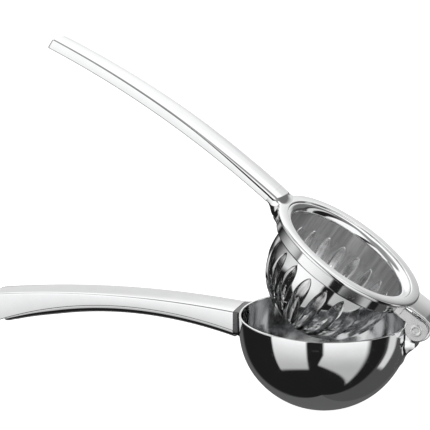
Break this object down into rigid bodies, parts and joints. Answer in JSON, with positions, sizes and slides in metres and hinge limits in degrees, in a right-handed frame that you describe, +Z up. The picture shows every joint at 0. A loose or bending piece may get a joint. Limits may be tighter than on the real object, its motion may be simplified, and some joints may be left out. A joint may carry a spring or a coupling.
{
  "type": "citrus press juicer",
  "caption": "Hand-held citrus press: round solid bowl on a curved handle, slotted strainer cup in a ring on a second handle, joined by a riveted hinge.",
  "frame": {"origin": "centre of the small flat under the bowl, on which the press stands", "axes": "+X from the handles towards the hinge, +Y across the press along the hinge axis, +Z up out of the bowl"},
  "size_m": [0.2077, 0.074, 0.1549],
  "materials": {
    "polished_steel": "mirror polished stainless steel",
    "satin_steel": "satin stainless steel"
  },
  "bodies": {
    "lower_arm": {"bowl": "polished_steel", "hinge_lug": "polished_steel", "lower_handle_collar": "polished_steel", "lower_handle_shell": "polished_steel", "lower_handle_belly": "polished_steel", "lower_handle_end_cap": "polished_steel"},
    "upper_arm": {"press_ring": "polished_steel", "strainer_cup": "satin_steel", "hinge_web": "polished_steel", "near_ear": "satin_steel", "far_ear": "satin_steel", "upper_handle_neck": "polished_steel", "upper_handle_shell": "polished_steel", "upper_handle_belly": "polished_steel", "upper_handle_end_cap": "polished_steel", "hinge_rivet": "satin_steel", "hinge_washers": "satin_steel"}
  },
  "joints": [
    {"name": "arm_hinge", "type": "hinge", "parent": "lower_arm", "child": "upper_arm", "pos_m": [0.0414, 0, 0.04031], "axis": [0, 1, 0], "range_deg": [-34.7, 70]}
  ]
}
